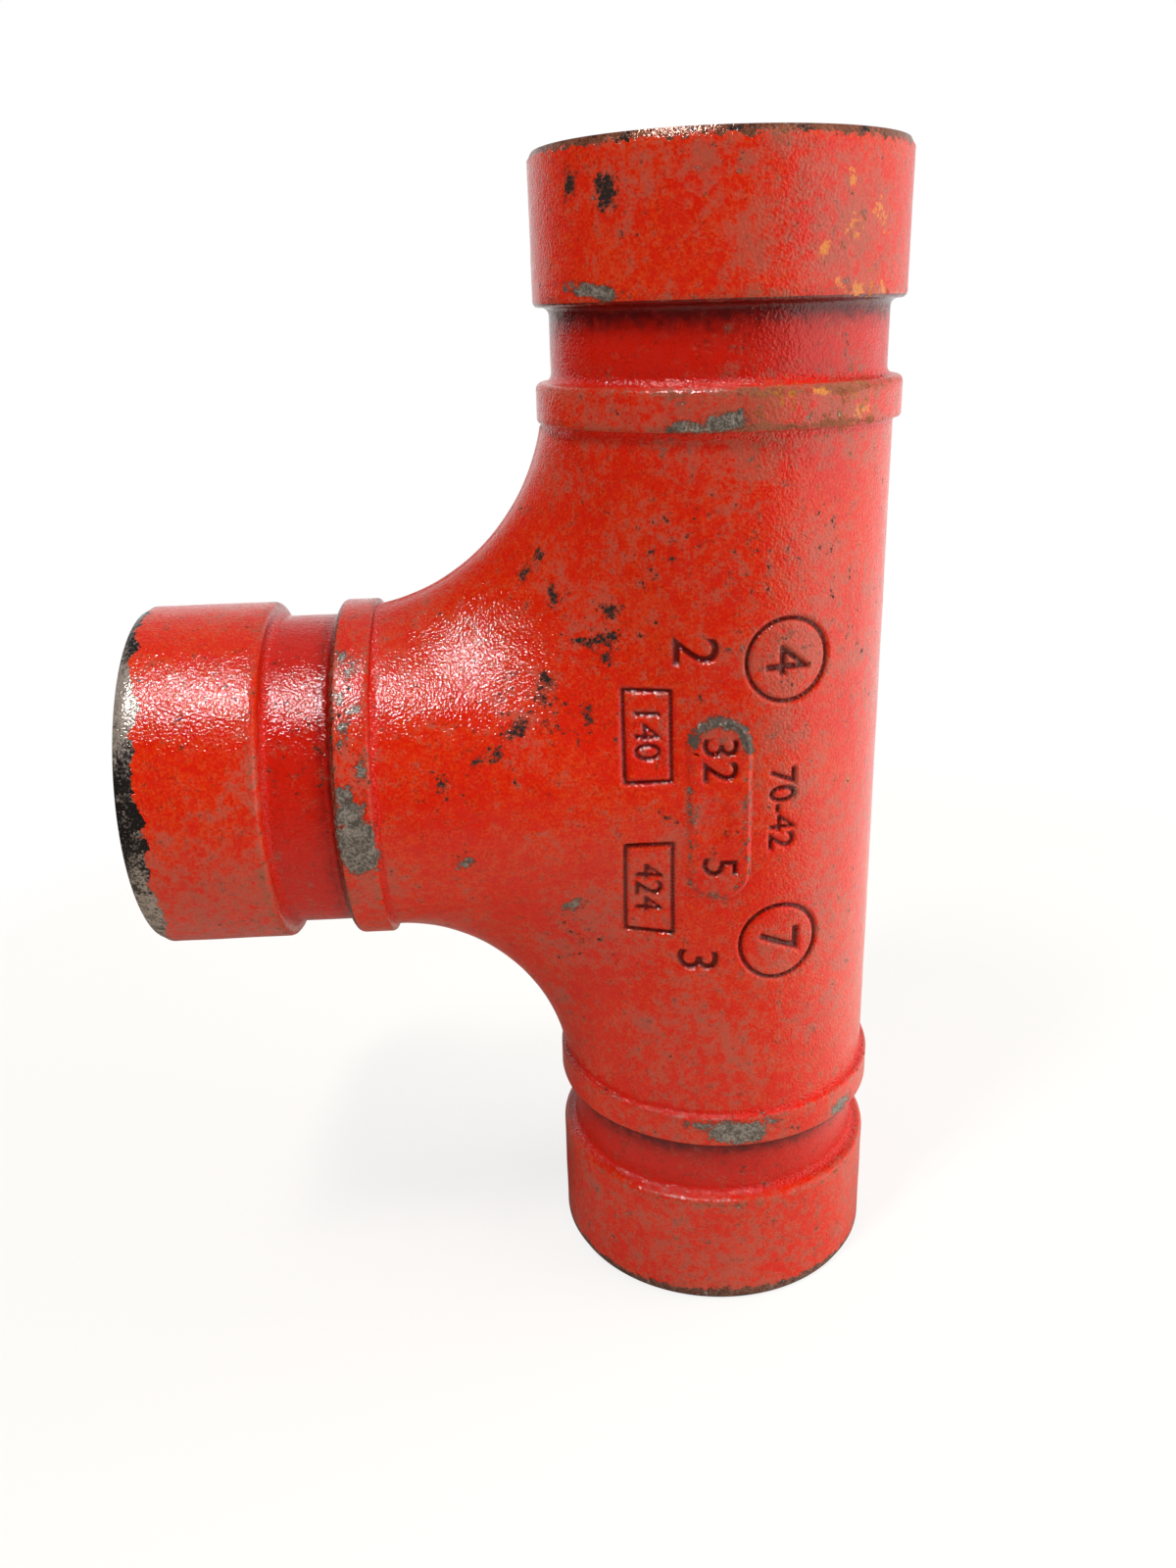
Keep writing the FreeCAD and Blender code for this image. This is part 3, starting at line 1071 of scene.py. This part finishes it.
def paintTee():
    finish = Finish("wornRedPaint")
    where = finish.place()
    uneven = {name: finish.uneven(where, *values) for name, values in paint["noises"].items()}
    skin = {name: finish.reading(name) for name in readings}
    padRub = 1 - (skin["padNear"] + 0.35).magnitude().between(0.3, 0.9)
    colour, pooled = soundPaint(finish, uneven, skin)
    colour, dirt, dirty, rusted = addDirt(finish, uneven, skin, colour, pooled, padRub)
    colour, bareSpot, darkSpot, rimBare = bareIron(finish, uneven, skin, colour, dirt, padRub)

    peel, pits = uneven["peel"], uneven["pits"]
    gone = bareSpot.most(darkSpot).most(rimBare)
    dull = dirty.most(rusted).most(darkSpot)
    glossy = (peel * 0.4 + pits * 0.6).between(-0.6, 1.2).most(pooled)
    sound = paint["matte"] - glossy * (paint["matte"] - paint["shiny"]) * (1 - gone)
    roughness = sound + (dull * paint["rough"]).most(bareSpot * 0.12)
    metallic = bareSpot.most(rimBare) * 0.35
    lip = 1 - skin["strokeNear"].magnitude().between(0.12, 0.40)
    height = peel * (1 + pooled * 1.6 + lip * 0.5) + pits * 0.7 + uneven["grain"] * 0.15
    height = height - gone * 2.2 - dirty * 0.6
    normal = finish.add("Bump", {}, {"Height": height, "Distance": paint["bumpHeight"] * mm})
    painted = finish.add("BsdfPrincipled", {}, {
        "Base Color": colour, "Roughness": roughness, "Metallic": metallic, "Normal": normal,
        "Specular IOR Level": paint["specular"]})
    earthy = finish.add("BsdfPrincipled", {}, {
        "Base Color": colour, "Roughness": paint["earthRoughness"], "Normal": normal,
        "Specular IOR Level": paint["earthSpecular"]})
    mixed = finish.add("MixShader", {}, {0: dull, 1: painted, 2: earthy})
    finish.add("OutputMaterial", {}, {"Surface": mixed})
    return finish.material


tee.data.materials.clear()
tee.data.materials.append(paintTee())
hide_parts("tee_casting")
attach(tee, "root")
print("tee painted")


# floor and light

studio = {
    # sizes and distances in metres
    "floorSize": 4.0,
    "floorColour": (0.88, 0.81, 0.70, 1),
    "floorGlow": 0.80,
    "whiteFrom": (0.09, 0.20),
    "ambient": 0.31,
    # what the glossy paint mirrors: a bright right side and back, a dim front
    "glossFront": 0.04,
    "glossRight": 0.95,
    "glossBack": 0.65,
    "glossFloor": 0.90,
    "rightFades": 0.3,
    "topFades": 0.7,
    "brightSide": (0.819, 0.574, 0),
    "backSide": (-0.174, 0.985, 0),
    "frontSeen": (0.05, 0.24),
    "frontDark": (0.75, 0.23),
    "key": {"azimuth": -42, "elevation": 63, "distance": 0.55, "size": (0.055, 0.13),
            "power": 1.75, "mirrored": True},
    "window": {"azimuth": 88, "elevation": 28, "distance": 1.1, "size": (1.3, 1.3),
               "power": 21, "mirrored": False},
    "lampTarget": (-0.01, 0, 0.07),
}


def layFloor():
    deselectAll()
    bpy.ops.mesh.primitive_plane_add(size=studio["floorSize"], location=(0, 0, 0))
    floor = nameActive("floor")
    settle()
    finish = Finish("paleFloor")
    glossy, place = finish.ray("Glossy"), finish.place()
    away = finish.add("VectorMath", {"operation": "LENGTH"}, {0: place}, output="Value")
    side = finish.dot(place, studio["brightSide"])
    # white to the camera far off, with the object's shadow close by
    glowShare = away.between(*studio["whiteFrom"]).most(studio["floorGlow"])
    mirrored = glossy * side.between(0.0, 0.15) * studio["glossFloor"]
    shine = (finish.ray("Camera") + finish.ray("Transmission") + mirrored).least(1.0) * glowShare
    # dim in the paint's reflections of the front
    near, gain = studio["frontDark"]
    front = glossy * (1 - side.between(-0.02, 0.10))
    dark = front * (near + gain * away.between(*studio["frontSeen"]))
    seenColour = finish.mixColour(dark, studio["floorColour"], (0, 0, 0, 1))
    plain = finish.add("BsdfDiffuse", {}, {"Color": seenColour})
    glow = finish.add("Emission", {}, {"Color": (1, 1, 1, 1), "Strength": 1.0})
    mixed = finish.add("MixShader", {}, {0: shine, 1: plain, 2: glow})
    finish.add("OutputMaterial", {}, {"Surface": mixed})
    floor.data.materials.append(finish.material)


def lightWorld():
    world = bpy.data.worlds.new("studioWorld")
    bpy.context.scene.world = world
    world.use_nodes = True
    finish = Finish("studioWorld", world.node_tree)
    glossy = finish.ray("Glossy")
    direction = finish.add("TexCoord", output="Generated")
    right = finish.dot(direction, studio["brightSide"])
    behind = finish.dot(direction, studio["backSide"])
    above = finish.dot(direction, (0, 0, 1))
    farRight = 1 - right.between(0.5, 1.0) * studio["rightFades"]
    fromRight = right.between(-0.35, 0.35) * farRight * studio["glossRight"]
    sides = (behind.between(0.62, 1.0) * studio["glossBack"]).most(fromRight)
    mirrored = (studio["glossFront"] + sides) * (1 - above.between(0.1, 0.6) * studio["topFades"])
    seen = (finish.ray("Camera") + finish.ray("Transmission")).least(1.0)
    strength = (1 - seen - glossy) * studio["ambient"] + seen + glossy * mirrored
    shade = finish.add("Background", {}, {"Color": (1, 1, 1, 1), "Strength": strength})
    finish.add("OutputWorld", {}, {"Surface": shade})


def hangLight(name):
    light = studio[name]
    azimuth, elevation = math.radians(light["azimuth"]), math.radians(light["elevation"])
    target = Vector(studio["lampTarget"])
    direction = Vector((math.sin(azimuth) * math.cos(elevation),
                        -math.cos(azimuth) * math.cos(elevation), math.sin(elevation)))
    bpy.ops.object.light_add(type="AREA", location=target + direction * light["distance"])
    lamp = bpy.context.object
    lamp.name = name + "Light"
    lamp.rotation_euler = direction.to_track_quat("Z", "Y").to_euler()
    lamp.data.shape = "RECTANGLE"
    lamp.data.size, lamp.data.size_y = light["size"]
    lamp.data.energy = light["power"]
    lamp.visible_glossy = light["mirrored"]


layFloor()
lightWorld()
hangLight("key")
hangLight("window")
bpy.context.scene.view_settings.view_transform = "Standard"
print("studio lit")
